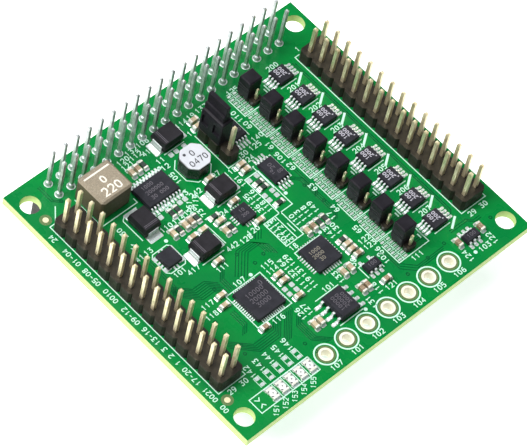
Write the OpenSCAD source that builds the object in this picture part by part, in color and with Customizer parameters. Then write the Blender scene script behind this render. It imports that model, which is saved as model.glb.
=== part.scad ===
// Servo driver board: a stack-on board with eight jumpered driver channels.
// Origin: centre of the four mounting holes, on the underside of the laminate.
// +X runs along the long side, +Y towards the stack-through connector, +Z up.

/* [Board] */
// Length of the laminate, along X
board_l = 63; // [62:0.5:66]
// Width of the laminate, along Y
board_w = 56; // [55.5:0.5:58]
// How far the laminate's centre lies behind the centre of the mounting holes
board_shift_y = 0.15; // [0:0.05:0.25]
// Thickness of the laminate
board_t = 1.6; // [1.4:0.1:2]
// Spacing of the mounting holes along X
hole_dx = 58; // [57.5:0.25:58.5]
// Spacing of the mounting holes along Y
hole_dy = 49; // [48.75:0.25:49.25]
// Diameter of the mounting holes
hole_d = 3.4; // [2.7:0.1:3.6]

/* [Test points] */
// Number of test points in the front row
tp_count = 7; // [1:1:7]
// Spacing of the test points
tp_pitch = 4.572; // [4:0.001:4.6]
// X of the first test point
tp_x = -11.4; // [-11.6:0.1:-11]
// Y of the row of test points
tp_y = -24.35; // [-24.6:0.05:-24]
// Diameter of the open hole in a test point
tp_hole_d = 1.6; // [1:0.1:1.8]
// Diameter of a test point's metal ring
tp_ring_d = 2.4; // [2.2:0.1:3]

/* [Pin headers] */
// Pin pitch of the large headers and of the stack-through connector
pitch = 2.54; // [2.5, 2.54]
// Width of a header pin
pin_w = 0.64; // [0.6:0.02:0.68]
// Height of a header's housing
header_h = 2.54; // [2.3:0.02:2.6]
// Height of a header pin above its housing
pin_reach = 6; // [5.5:0.1:6.5]
// Pins along each side header
side_cols = 15; // [2:1:15]
// X of the left header
left_x = -26.75; // [-26.9:0.05:-26.6]
// X of the right header
right_x = 26.9; // [26.75:0.05:27]
// Y of the centre of both side headers
side_y = 0.1; // [-0.2:0.1:0.3]
// X of the three-pin selector header
selector_x = 1.85; // [1.7:0.05:2]
// Y of the selector header's middle pin
selector_y = 14.44; // [14.3:0.02:14.5]

/* [Stack-through connector] */
// Pins along the stack-through connector
stack_cols = 20; // [2:1:20]
// Y of the stack-through connector
stack_y = 24.5; // [24.4:0.05:24.5]
// Depth of the socket under the board
stack_depth = 8.5; // [6:0.5:11]
// Height of the tails above the board
stack_reach = 9; // [6:0.5:12]
// Width of a tail
tail_w = 0.56; // [0.4:0.02:0.56]

/* [Driver channels] */
// Number of channels
channels = 8; // [8]
// Spacing of the channels
channel_pitch = 5.08; // [5.08]
// Y of the first channel header's middle pin
channel_y = 18.37; // [18.3:0.01:18.5]
// X of the channel headers
channel_x = 12.85; // [12.7:0.05:13]
// Pin pitch of the channel headers
fine_pitch = 1.27; // [1.25, 1.27]
// Width of a channel header's pin
fine_pin_w = 0.45; // [0.4:0.05:0.5]
// X of the driver packages
driver_x = 19.65; // [19.5:0.05:19.7]

/* [Shunts] */
// Length of a short shunt, across its two pins
short_l = 2.8; // [2.7:0.1:3.2]
// Width of a short shunt, along its two pins
short_w = 2.46; // [2.3:0.02:2.5]
// Height of a short shunt's top above the board
short_top = 5; // [4.8:0.1:5.6]
// Height of the tall shunt's body above the board
tall_body_top = 7.8; // [7:0.1:8.2]
// Height of the narrow shoulder on top of the tall shunt's body, above the board
tall_shoulder_top = 9.2; // [9.1:0.1:9.8]
// Height of the tall shunt's grip tab above the board
tall_top = 11.3; // [10.8:0.1:13]
// Thickness of the grip tab
tall_tab_t = 0.8; // [0.6:0.05:1.2]

/* [Coils] */
// Length of the power inductor, along X
power_l = 6.5; // [6.2:0.05:6.8]
// Width of the power inductor, along Y
power_w = 6.2; // [6.1:0.05:6.6]
// Height of the power inductor
power_h = 5; // [4:0.1:6]
// Width of the octagonal filter inductor
filter_w = 4.8; // [4.6:0.05:4.9]
// Height of the filter inductor
filter_h = 3; // [2.6:0.1:3.2]

/* [Hidden] */
$fn = 32;

// Clearances and metal thicknesses
pin_hole_d = 1.02;
fine_hole_d = 0.76;
plating_t = 0.1;
ring_t = 0.05;
lead_t = 0.15;
solder_h = 0.7;
solder_r = 0.78;
stack_solder_r = 0.62;
fine_solder_r = 0.5;
slip = 0.03;

// Lengths of the pins below the board
tail_out = 1.4;
fine_tail_out = 0.9;

// Channel header housing and pins, above the board
fine_header_w = 2.1;
fine_header_h = 1;
fine_pin_top = 3.6;

// Moulding colours
black_plastic = [0.10, 0.10, 0.11];
package_grey = [0.19, 0.18, 0.21];
gold = [0.83, 0.72, 0.42];
tin = [0.78, 0.78, 0.76];

// Packages: [x, y]
amplifiers = [[5.65, 15.3], [5.6, 5.4]];
regulator = [-11.85, 14.2];
memory = [-3.5, -19.4];
controller = [-12.77, -10.65];
converter = [0.5, -10.75];
monitor = [-3.85, 2.35];
switch_at = [-18.75, 3.6];
power_at = [-19.42, 18.4];
filter_at = [-3.85, 14.05];

// Small-outline parts: [x, y, leads on the front, leads on the back]
small_outlines = [[5.5, -17.3, 3, 2], [21.95, -23.3, 3, 3]];

// Diodes, lights and chips: [x, y, turn]
diodes = [[-3.8, 20.3, 0], [-17.65, 10.65, 90], [-3.85, 7.75, 0], [-13.2, 1.4, 0]];
leds = [for (i = [0:4]) [-22.85 + i * 1.98, -24.3, 90]];
capacitors = [
    // round the regulator and the power inductor
    [-12.5, 19, 90], [-11.25, 19, 90], [-15.1, 6.5, 90], [-12.5, 6.5, 90], [-11.3, 6.5, 90],
    // round the filter inductor, the selector and the diodes
    [-3.5, 10.6, 0], [2.2, 20.45, 0], [1.9, 19.2, 0], [2.4, 9.45, 0], [2.3, 8.25, 0],
    [-13.1, 4.15, 0], [-10.9, 4.15, 0], [-13, -1.6, 0],
    // round the monitor
    [-3.3, 5.05, 0], [-2.6, -0.1, 0], [-8.15, 1.8, 90], [-7.6, 3.7, 0],
    // round the controller
    [-17, -6.5, 0], [-17.9, -8.2, 0], [-7.3, -9.3, 0], [-7.3, -10.6, 0], [-7.4, -14.1, 0],
    [-15.6, -15, 0],
    // round the converter
    [2.05, -6.2, 90], [3.4, -6.2, 90], [5.35, -11.95, 0], [5.35, -13.1, 0], [5.5, -14.3, 0],
    [1.2, -15.4, 90], [2.65, -15.4, 90],
    // round the memory and the small-outline parts
    [1.35, -19.4, 90], [2.5, -19.4, 90], [-9.2, -19.5, 90], [-8, -19.5, 90], [5.7, -20.5, 0],
    [19.6, -22.9, 90], [24.6, -22.9, 90]
];
resistors = [
    [-9.95, 19.1, 90], [-6.95, 1.8, 90], [-7.7, 4.95, 0], [-13.8, 6.5, 90], [-10.1, 6.5, 90],
    [-12.6, 9.5, 90], [-11.4, 9.5, 90], [2.35, 5.3, 0], [2.35, 4.2, 0], [2.35, 0.5, 0],
    [4.75, -6.2, 90], [6, -6.2, 90], [5.35, -10.8, 0]
];

// Chip sizes: [length, width, height, length of each metal end]
capacitor_size = [1.6, 0.8, 0.8, 0.35];
resistor_size = [1.6, 0.8, 0.45, 0.3];
led_size = [2, 1.25, 0.45, 0.35];

// Package sizes: [along the leads' rows, across them, height]
driver_size = [3, 3, 0.95];
amplifier_size = [3, 4.4, 0.95];
regulator_size = [6.5, 4.4, 0.95];
memory_size = [4.9, 3.9, 1.45];
small_outline_size = [2.9, 1.6, 1.05];
diode_size = [4.2, 3.4, 2.1];

// Leadless packages: [centre, side, pads along each side, pad pitch, pad width]
pad_h = 0.15;
leadless_h = 0.75;
leadless = [
    [controller, 6, 12, 0.4, 0.22], [converter, 5, 8, 0.5, 0.25],
    [monitor, 3, 4, 0.5, 0.25], [switch_at, 3, 4, 0.65, 0.35]
];

// Centres of the pins of each connector
function rows_along_y(cols, rows, step) = [
    for (c = [0:cols - 1], r = [0:rows - 1]) [(r - (rows - 1) / 2) * step, (c - (cols - 1) / 2) * step]
];
function moved(points, by) = [for (p = points) [p.x + by.x, p.y + by.y]];
function channel_origin(i) = [channel_x, channel_y - i * channel_pitch];
side_pins = rows_along_y(side_cols, 2, pitch);
stack_pins = [for (p = rows_along_y(stack_cols, 2, pitch)) [p.y, p.x + stack_y]];
three_pins = rows_along_y(3, 1, pitch);
fine_pins = rows_along_y(3, 1, fine_pitch);
large_pins = concat(
    moved(side_pins, [left_x, side_y]),
    moved(side_pins, [right_x, side_y]),
    moved(three_pins, [selector_x, selector_y])
);
channel_pins = [for (i = [0:channels - 1]) each moved(fine_pins, channel_origin(i))];
test_points = [for (i = [0:tp_count - 1]) [tp_x + i * tp_pitch, tp_y]];

// Children copied to each point
module at_points(points) {
    for (p = points) translate([p.x, p.y, 0]) children();
}

// Children copied to each placed part, turned as it is
module at_parts(parts) {
    for (p = parts) translate([p.x, p.y, board_t]) rotate(p.z) children();
}

// Outline swept both ways and crossed, for a shape with the same slope on all four sides
module crossed(outline_x, outline_y, reach) {
    intersection() {
        rotate([90, 0, 0]) linear_extrude(reach, center = true) polygon(outline_x);
        rotate([90, 0, 90]) linear_extrude(reach, center = true) polygon(outline_y);
    }
}

// Square pin with pointed ends, from height low to height high
module pin(side, low, high) {
    half = side / 2;
    point = side / 5;
    outline = [
        [-point, low], [point, low], [half, low + half], [half, high - half],
        [point, high], [-point, high], [-half, high - half], [-half, low + half]
    ];
    crossed(outline, outline, side);
}

// Cone of solder round a square pin, standing on z = 0
module solder_cone(radius, pin_side) {
    difference() {
        cylinder(h = solder_h, r1 = radius, r2 = pin_side * 0.8);
        cube([pin_side, pin_side, 4 * solder_h], center = true);
    }
}

// One long side of a header housing: a shallow notch between neighbouring cells
function notched_side(n, cell, half_w, cut) = concat(
    [
        for (i = [0:n - 1]) let (y = (i - n / 2) * cell)
            each [[half_w - cut, y], [half_w, y + cut], [half_w, y + cell - cut]]
    ],
    [[half_w - cut, n * cell / 2]]
);

// Header housing along Y with square pin holes
module header_housing(cols, rows, cell, width, height, pin_side) {
    side = notched_side(cols, cell, width / 2, cell * 0.18);
    linear_extrude(height) difference() {
        polygon(concat(side, [for (p = side) [-p.x, -p.y]]));
        at_points(rows_along_y(cols, rows, cell)) square(pin_side, center = true);
    }
}

// Moulded package whose sides lean out to a band half way up, with a dimple by lead 1
module package(size, lean, dimple_r, lift = 0.1) {
    function profile(width) = let (half = width / 2, band = lift + size.z / 2) [
        [-half + lean, lift], [half - lean, lift], [half, band - lead_t / 2],
        [half, band + lead_t / 2], [half - lean, lift + size.z], [-half + lean, lift + size.z],
        [-half, band + lead_t / 2], [-half, band - lead_t / 2]
    ];
    difference() {
        crossed(profile(size.x), profile(size.y), size.x + size.y);
        translate([-size.x / 2 + 2.5 * dimple_r, -size.y / 2 + 2.5 * dimple_r, lift + size.z - 0.05])
            cylinder(h = 1, r = dimple_r);
    }
}

// Gull-wing lead along +Y, from the package's side at y = side to its toe at y = toe
module gull_lead(side, toe, shoulder_z, width) {
    bend = side + (toe - side) * 0.25;
    heel = side + (toe - side) * 0.4;
    rotate([90, 0, 90]) linear_extrude(width, center = true) polygon([
        [side, shoulder_z - lead_t / 2], [side, shoulder_z + lead_t / 2],
        [bend + lead_t, shoulder_z + lead_t / 2], [heel + lead_t, lead_t],
        [toe, lead_t], [toe, 0], [heel, 0], [bend, shoulder_z - lead_t / 2]
    ]);
}

// Row of gull-wing leads along X on the +Y side of a package
module lead_row(count, step, size, toe, width, lift = 0.1) {
    for (i = [0:count - 1]) translate([(i - (count - 1) / 2) * step, 0, 0])
        gull_lead(size.y / 2, toe, lift + size.z / 2, width);
}

// Both rows of leads of a package
module both_rows(count, step, size, toe, width) {
    for (turn = [0, 180]) rotate(turn) lead_row(count, step, size, toe, width);
}

// Middle of a chip part, along X
module chip_body(size) {
    translate([-size[0] / 2 + size[3], -size[1] / 2 + 0.02, 0.03])
        cube([size[0] - 2 * size[3], size[1] - 0.04, size[2] - 0.05]);
}

// Two metal ends of a chip part
module chip_ends(size) {
    for (x = [-size[0] / 2, size[0] / 2 - size[3]])
        translate([x, -size[1] / 2, 0]) cube([size[3], size[1], size[2]]);
}

// Octagon across flats w, with its corners cut back by cut
module octagon(w, cut) {
    h = w / 2;
    polygon([
        [h - cut, -h], [h, -h + cut], [h, h - cut], [h - cut, h],
        [-h + cut, h], [-h, h - cut], [-h, -h + cut], [-h + cut, -h]
    ]);
}

// ---- Board ----

module laminate() {
    color([0.05, 0.50, 0.25]) linear_extrude(board_t) difference() {
        translate([0, board_shift_y]) square([board_l, board_w], center = true);
        for (x = [-hole_dx / 2, hole_dx / 2], y = [-hole_dy / 2, hole_dy / 2])
            translate([x, y]) circle(d = hole_d);
        at_points(test_points) circle(d = tp_hole_d + 2 * plating_t);
        at_points(concat(stack_pins, large_pins)) circle(d = pin_hole_d);
        at_points(channel_pins) circle(d = fine_hole_d);
    }
}

module test_point_rings() {
    color(gold) at_points(test_points) difference() {
        union() {
            cylinder(h = board_t, d = tp_hole_d + 2 * plating_t);
            for (z = [-ring_t, board_t]) translate([0, 0, z]) cylinder(h = ring_t, d = tp_ring_d);
        }
        translate([0, 0, -board_t]) cylinder(h = 3 * board_t, d = tp_hole_d);
    }
}

// ---- Stack-through connector ----

cavity_w = 1.4;
cavity_top = -1.6;
socket_end = 0.3;

module stack_socket_housing() {
    color(black_plastic) difference() {
        translate([-stack_cols * pitch / 2 - socket_end, stack_y - pitch, -stack_depth])
            cube([stack_cols * pitch + 2 * socket_end, 2 * pitch, stack_depth]);
        at_points(stack_pins) {
            translate([0, 0, -stack_depth / 2]) cube([tail_w, tail_w, 2 * stack_depth], center = true);
            translate([-cavity_w / 2, -cavity_w / 2, cavity_top - stack_depth])
                cube([cavity_w, cavity_w, stack_depth]);
        }
    }
}

module stack_socket_contacts() {
    leaf_t = 0.2;
    leaf_w = 0.7;
    leaf_gap = 0.6;
    yoke = [leaf_gap + 2 * leaf_t, leaf_w, 0.5];
    leaf_l = stack_depth + cavity_top - yoke.z - 0.8;
    color(gold) at_points(stack_pins) {
        pin(tail_w, cavity_top - yoke.z / 2, board_t + stack_reach);
        translate([-yoke.x / 2, -yoke.y / 2, cavity_top - yoke.z]) cube(yoke);
        for (x = [-yoke.x / 2, leaf_gap / 2])
            translate([x, -leaf_w / 2, cavity_top - yoke.z - leaf_l]) cube([leaf_t, leaf_w, leaf_l]);
    }
}

module stack_solder_joints() {
    color(tin) at_points(stack_pins) translate([0, 0, board_t]) solder_cone(stack_solder_r, tail_w);
}

// ---- Pin headers ----

module side_header_housing(x) {
    color(black_plastic) translate([x, side_y, board_t])
        header_housing(side_cols, 2, pitch, 2 * pitch, header_h, pin_w);
}

module large_pin() {
    pin(pin_w, -tail_out, board_t + header_h + pin_reach);
}

module side_header_pins(x) {
    color(gold) at_points(moved(side_pins, [x, side_y])) large_pin();
}

module left_header_housing() {
    side_header_housing(left_x);
}

module left_header_pins() {
    side_header_pins(left_x);
}

module right_header_housing() {
    side_header_housing(right_x);
}

module right_header_pins() {
    side_header_pins(right_x);
}

module selector_header_housing() {
    color(black_plastic) translate([selector_x, selector_y, board_t])
        header_housing(3, 1, pitch, pitch, header_h, pin_w);
}

module selector_header_pins() {
    color(gold) at_points(moved(three_pins, [selector_x, selector_y])) large_pin();
}

module channel_header_housings() {
    color(black_plastic) at_points([for (i = [0:channels - 1]) channel_origin(i)])
        translate([0, 0, board_t])
            header_housing(3, 1, fine_pitch, fine_header_w, fine_header_h, fine_pin_w);
}

module channel_header_pins() {
    color(gold) at_points(channel_pins) pin(fine_pin_w, -fine_tail_out, board_t + fine_pin_top);
}

module header_solder_joints() {
    color(tin) {
        at_points(large_pins) mirror([0, 0, 1]) solder_cone(solder_r, pin_w);
        at_points(channel_pins) mirror([0, 0, 1]) solder_cone(fine_solder_r, fine_pin_w);
    }
}

// ---- Shunts ----

// Shunt housing over two pins, open below, with its top edges chamfered
module shunt_housing(length, width, height, hollow, roof) {
    edge = 0.2;
    function profile(w) = [
        [-w / 2, 0], [w / 2, 0], [w / 2, height - edge], [w / 2 - edge, height],
        [-w / 2 + edge, height], [-w / 2, height - edge]
    ];
    difference() {
        crossed(profile(length), profile(width), length + width);
        translate([-hollow.x / 2, -hollow.y / 2, -roof]) cube([hollow.x, hollow.y, height]);
    }
}

// Contact clip: a long leaf on each side of both pins, joined by a web between the pins
module shunt_clip(step, pin_side, leaf_t, low, high) {
    gap = pin_side / 2 + slip;
    leaf_l = step + pin_side;
    for (x = [-gap - leaf_t, gap]) translate([x, -leaf_l / 2, low]) cube([leaf_t, leaf_l, high - low]);
    translate([-gap, -leaf_t / 2, low + (high - low) / 3]) cube([2 * gap, leaf_t, (high - low) / 3]);
}

short_hollow = [1.1, 1.9];
short_roof = 0.6;
short_h = short_top - fine_header_h;
tall_hollow = [1.5, 4.1];
tall_h = tall_body_top - header_h;
tall_roof = 0.5;
tall_w = 4.8;
tall_l = 2.4;
tall_tab_w = 4.3;

// Short shunt's place: over the two back pins of its header
module at_short_shunt(i) {
    translate([channel_x, channel_y + fine_pitch / 2 - i * channel_pitch, board_t + fine_header_h])
        children();
}

module channel_shunt_housing(i) {
    groove = [0.24, short_w + 1, 0.16];
    color(black_plastic) at_short_shunt(i) difference() {
        shunt_housing(short_l, short_w, short_h, short_hollow, short_roof);
        for (x = [-short_l / 2, short_l / 2], z = [0.42, 0.62])
            translate([x, 0, short_h * z]) cube(groove, center = true);
    }
}

module channel_shunt_clip(i) {
    color(gold) at_short_shunt(i)
        shunt_clip(fine_pitch, fine_pin_w, 0.15, 0.4, short_h - short_roof - 0.1);
}

module at_tall_shunt() {
    translate([selector_x, selector_y + pitch / 2, board_t + header_h]) children();
}

module selector_shunt_housing() {
    window = [0.3, 1.5, 2.2];
    shoulder_l = 1.5;
    shoulder_h = tall_shoulder_top - tall_body_top;
    tab_y = tall_w / 2 - tall_tab_w;
    pin_slot = [pin_w + 4 * slip, pitch + pin_w + 4 * slip];
    color(black_plastic) at_tall_shunt() difference() {
        union() {
            shunt_housing(tall_l, tall_w, tall_h, tall_hollow, tall_roof);
            translate([-shoulder_l / 2, tab_y, tall_h]) cube([shoulder_l, tall_tab_w, shoulder_h]);
            translate([-tall_tab_t / 2, tab_y, tall_h])
                cube([tall_tab_t, tall_tab_w, tall_top - tall_body_top]);
        }
        translate([-pin_slot.x / 2, -pin_slot.y / 2, 1])
            cube([pin_slot.x, pin_slot.y, pin_reach + 0.1 - 1]);
        for (x = [-tall_l / 2, tall_l / 2], y = [-pitch / 2, pitch / 2])
            translate([x, y, tall_h * 0.55]) cube([2 * window.x, window.y, window.z], center = true);
    }
}

module selector_shunt_clip() {
    color(gold) at_tall_shunt() shunt_clip(pitch, pin_w, 0.25, 0.6, tall_h - tall_roof - 0.2);
}

// ---- Packages with leads ----

// Driver packages stand with their leads to the left and right
driver_places = [for (i = [0:channels - 1]) [driver_x, channel_y - 0.27 - i * channel_pitch, 90]];

module driver_ic_bodies() {
    color(package_grey) at_parts(driver_places) package(driver_size, 0.12, 0.22);
}

module driver_ic_leads() {
    color(tin) at_parts(driver_places) both_rows(4, 0.65, driver_size, 2.45, 0.3);
}

module regulator_ic_body() {
    color(package_grey) translate([regulator.x, regulator.y, board_t]) package(regulator_size, 0.12, 0.3);
}

module regulator_ic_leads() {
    color(tin) translate([regulator.x, regulator.y, board_t]) both_rows(10, 0.65, regulator_size, 3.2, 0.26);
}

module amplifier_ic_bodies() {
    color(package_grey) at_points(amplifiers) translate([0, 0, board_t]) package(amplifier_size, 0.12, 0.25);
}

module amplifier_ic_leads() {
    color(tin) at_points(amplifiers) translate([0, 0, board_t]) both_rows(4, 0.65, amplifier_size, 3.2, 0.26);
}

module memory_ic_body() {
    color(package_grey) translate([memory.x, memory.y, board_t]) rotate(90) package(memory_size, 0.15, 0.35);
}

module memory_ic_leads() {
    color(tin) translate([memory.x, memory.y, board_t]) rotate(90) both_rows(4, 1.27, memory_size, 3, 0.42);
}

module small_outline_bodies() {
    color(package_grey) for (p = small_outlines)
        translate([p[0], p[1], board_t]) package(small_outline_size, 0.1, 0.15);
}

module small_outline_leads() {
    step = 0.95;
    color(tin) for (p = small_outlines) translate([p[0], p[1], board_t]) {
        rotate(180) lead_row(p[2], step, small_outline_size, 1.4, 0.4);
        lead_row(p[3], p[3] == 2 ? 2 * step : step, small_outline_size, 1.4, 0.4);
    }
}

// ---- Leadless packages ----

module leadless_body(p) {
    lean = 0.04;
    half = p[1] / 2;
    body_top = pad_h + leadless_h;
    outline = [[-half, pad_h], [half, pad_h], [half - lean, body_top], [-half + lean, body_top]];
    color(package_grey) translate([p[0].x, p[0].y, board_t]) difference() {
        crossed(outline, outline, p[1]);
        translate([half - 0.7, half - 0.7, body_top - 0.04]) cylinder(h = 1, r = 0.2);
    }
}

module controller_ic_body() {
    leadless_body(leadless[0]);
}

module converter_ic_body() {
    leadless_body(leadless[1]);
}

module monitor_ic_body() {
    leadless_body(leadless[2]);
}

module switch_ic_body() {
    leadless_body(leadless[3]);
}

module leadless_ic_pads() {
    pad_in = 0.35;
    pad_out = 0.15;
    core = 1.1;
    color(tin) for (p = leadless) translate([p[0].x, p[0].y, board_t]) {
        translate([-p[1] / 2 + core, -p[1] / 2 + core, 0]) cube([p[1] - 2 * core, p[1] - 2 * core, pad_h]);
        for (turn = [0, 90, 180, 270], i = [0:p[2] - 1])
            rotate(turn) translate([p[1] / 2 - pad_in, (i - (p[2] - 1) / 2) * p[3] - p[4] / 2, 0])
                cube([pad_in + pad_out, p[4], pad_h]);
    }
}

// ---- Diodes ----

module diode_bodies() {
    color(black_plastic) at_parts(diodes) package(diode_size, 0.2, 0.1, lead_t + 0.05);
}

// Strap that comes out of the body half way up and folds down and under it
module diode_leads() {
    strap_w = 2.1;
    foot = 0.9;
    strap_top = lead_t + 0.05 + diode_size.z / 2 + lead_t / 2;
    half = diode_size.x / 2;
    color(tin) at_parts(diodes) for (turn = [0, 180]) rotate(turn)
        rotate([90, 0, 0]) linear_extrude(strap_w, center = true) polygon([
            [half - foot, 0], [half + lead_t, 0], [half + lead_t, strap_top],
            [half, strap_top], [half, lead_t], [half - foot, lead_t]
        ]);
}

// ---- Coils ----

core_edge = 0.35;
core_corner = 0.6;
coil_r = [1.3, 2.5];
coil_h = 2.4;
filter_cut = 1.3;
spool_r = 1.95;
post_r = 0.9;
flange_t = 0.4;
cover_t = 0.3;
shield_top = filter_h - cover_t;

module at_coil(place) {
    translate([place.x, place.y, board_t]) children();
}

// Ring of rectangular section round the Z axis
module ring(inner, outer, low, high) {
    rotate_extrude() translate([inner, low]) square([outer - inner, high - low]);
}

module coil_ring() {
    middle = (power_h + lead_t) / 2;
    ring(coil_r[0], coil_r[1], middle - coil_h / 2, middle + coil_h / 2);
}

module power_inductor_core() {
    function profile(w) = [
        [-w / 2, lead_t], [w / 2, lead_t], [w / 2, power_h - core_edge], [w / 2 - core_edge, power_h],
        [-w / 2 + core_edge, power_h], [-w / 2, power_h - core_edge]
    ];
    color([0.60, 0.52, 0.42]) at_coil(power_at) difference() {
        intersection() {
            crossed(profile(power_l), profile(power_w), power_l + power_w);
            linear_extrude(2 * power_h) offset(r = core_corner)
                square([power_l - 2 * core_corner, power_w - 2 * core_corner], center = true);
        }
        coil_ring();
    }
}

module power_inductor_coil() {
    color([0.72, 0.42, 0.22]) at_coil(power_at) coil_ring();
}

module filter_inductor_shield() {
    color([0.16, 0.16, 0.17]) at_coil(filter_at) difference() {
        translate([0, 0, lead_t]) linear_extrude(shield_top - lead_t) octagon(filter_w, filter_cut);
        translate([0, 0, -1]) cylinder(h = 2 * filter_h, r = spool_r + 0.05);
    }
}

module filter_inductor_spool() {
    color([0.22, 0.22, 0.23]) at_coil(filter_at) {
        translate([0, 0, lead_t]) cylinder(h = shield_top - lead_t, r = post_r);
        for (z = [lead_t, shield_top - flange_t]) translate([0, 0, z]) cylinder(h = flange_t, r = spool_r);
    }
}

module filter_inductor_winding() {
    color([0.72, 0.42, 0.22]) at_coil(filter_at)
        ring(post_r, spool_r - 0.15, lead_t + flange_t, shield_top - flange_t);
}

module filter_inductor_cover() {
    color([0.93, 0.94, 0.95]) at_coil(filter_at)
        translate([0, 0, shield_top]) linear_extrude(cover_t) octagon(filter_w - 0.2, filter_cut - 0.2);
}

module inductor_terminals() {
    color(tin) {
        at_coil(power_at) for (x = [-power_l / 2 + 0.2, power_l / 2 - 1.7])
            translate([x, -power_w / 2 + 0.6, 0]) cube([1.5, power_w - 1.2, lead_t]);
        at_coil(filter_at) for (x = [-filter_w / 2 + 0.1, filter_w / 2 - 1.1])
            translate([x, -0.9, 0]) cube([1, 1.8, lead_t]);
    }
}

// ---- Chip parts ----

module capacitor_bodies() {
    color([0.62, 0.50, 0.38]) at_parts(capacitors) chip_body(capacitor_size);
}

module resistor_bodies() {
    color([0.15, 0.16, 0.17]) at_parts(resistors) chip_body(resistor_size);
}

module led_bodies() {
    color([0.90, 0.92, 0.88]) at_parts(leds) chip_body(led_size);
}

module chip_end_caps() {
    color(tin) {
        at_parts(capacitors) chip_ends(capacitor_size);
        at_parts(resistors) chip_ends(resistor_size);
        at_parts(leds) chip_ends(led_size);
    }
}

laminate();
test_point_rings();
stack_socket_housing();
stack_socket_contacts();
stack_solder_joints();
left_header_housing();
left_header_pins();
right_header_housing();
right_header_pins();
selector_header_housing();
selector_header_pins();
channel_header_housings();
channel_header_pins();
header_solder_joints();
selector_shunt_housing();
selector_shunt_clip();
channel_shunt_housing(0);  // channel_shunt_1_housing
channel_shunt_housing(1);  // channel_shunt_2_housing
channel_shunt_housing(2);  // channel_shunt_3_housing
channel_shunt_housing(3);  // channel_shunt_4_housing
channel_shunt_housing(4);  // channel_shunt_5_housing
channel_shunt_housing(5);  // channel_shunt_6_housing
channel_shunt_housing(6);  // channel_shunt_7_housing
channel_shunt_housing(7);  // channel_shunt_8_housing
channel_shunt_clip(0);  // channel_shunt_1_clip
channel_shunt_clip(1);  // channel_shunt_2_clip
channel_shunt_clip(2);  // channel_shunt_3_clip
channel_shunt_clip(3);  // channel_shunt_4_clip
channel_shunt_clip(4);  // channel_shunt_5_clip
channel_shunt_clip(5);  // channel_shunt_6_clip
channel_shunt_clip(6);  // channel_shunt_7_clip
channel_shunt_clip(7);  // channel_shunt_8_clip
driver_ic_bodies();
driver_ic_leads();
regulator_ic_body();
regulator_ic_leads();
amplifier_ic_bodies();
amplifier_ic_leads();
memory_ic_body();
memory_ic_leads();
controller_ic_body();
converter_ic_body();
monitor_ic_body();
switch_ic_body();
leadless_ic_pads();
small_outline_bodies();
small_outline_leads();
diode_bodies();
diode_leads();
power_inductor_core();
power_inductor_coil();
filter_inductor_shield();
filter_inductor_spool();
filter_inductor_winding();
filter_inductor_cover();
inductor_terminals();
capacitor_bodies();
resistor_bodies();
led_bodies();
chip_end_caps();
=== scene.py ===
"""Looks of the servo driver board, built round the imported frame. Helpers take millimetres."""

import math

import bpy
from mathutils import Matrix, Vector


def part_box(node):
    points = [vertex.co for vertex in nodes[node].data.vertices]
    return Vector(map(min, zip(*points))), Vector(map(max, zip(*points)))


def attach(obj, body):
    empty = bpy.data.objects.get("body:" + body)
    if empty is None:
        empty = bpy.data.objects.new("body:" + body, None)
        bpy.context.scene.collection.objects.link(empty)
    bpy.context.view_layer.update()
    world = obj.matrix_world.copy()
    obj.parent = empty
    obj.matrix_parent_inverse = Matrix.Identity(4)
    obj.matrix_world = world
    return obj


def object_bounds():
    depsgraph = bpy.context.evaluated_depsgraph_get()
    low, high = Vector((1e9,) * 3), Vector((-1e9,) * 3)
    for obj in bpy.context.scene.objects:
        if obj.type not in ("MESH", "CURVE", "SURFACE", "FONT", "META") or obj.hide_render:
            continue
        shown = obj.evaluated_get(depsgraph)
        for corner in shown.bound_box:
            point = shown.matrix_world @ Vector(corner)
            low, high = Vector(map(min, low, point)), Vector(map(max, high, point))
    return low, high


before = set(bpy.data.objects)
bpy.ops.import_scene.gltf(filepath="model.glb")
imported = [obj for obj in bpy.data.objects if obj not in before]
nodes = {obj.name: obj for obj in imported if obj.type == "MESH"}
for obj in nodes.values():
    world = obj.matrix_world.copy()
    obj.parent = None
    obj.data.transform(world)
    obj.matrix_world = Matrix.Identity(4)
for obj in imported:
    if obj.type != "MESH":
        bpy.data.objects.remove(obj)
cad_box = [list(corner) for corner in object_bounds()]

MM = 0.001
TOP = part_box("laminate")[1].z / MM

# Low and high faces of the thin layers; each starts a little inside what it lies on
SUNK = 0.01
MASK_OPENING = (TOP - SUNK, TOP + 0.012)
TRACK_LAYER = (TOP - SUNK, TOP + 0.018)
VIA_LAYER = (TOP - SUNK, TOP + 0.022)
INK = (TOP - SUNK, TOP + 0.03)
PAD = (TOP - SUNK, TOP + 0.035)
UNDER_INK = (-0.03, SUNK)
UNDER_PAD = (-0.035, SUNK)
SOFT = 0.02  # how far the top edges of plates and strokes are drawn in

CHANNELS = 8
CHANNEL_STEP = 5.08
STRIP_ROWS = 6
STRIP_STEP = 0.8

# Waves in patterned materials, in radians a metre
WEAVE_WAVES = 9000
LAYER_WAVES = 26000
WIRE_WAVES = 12000


# ---- Shader nodes ----


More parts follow.
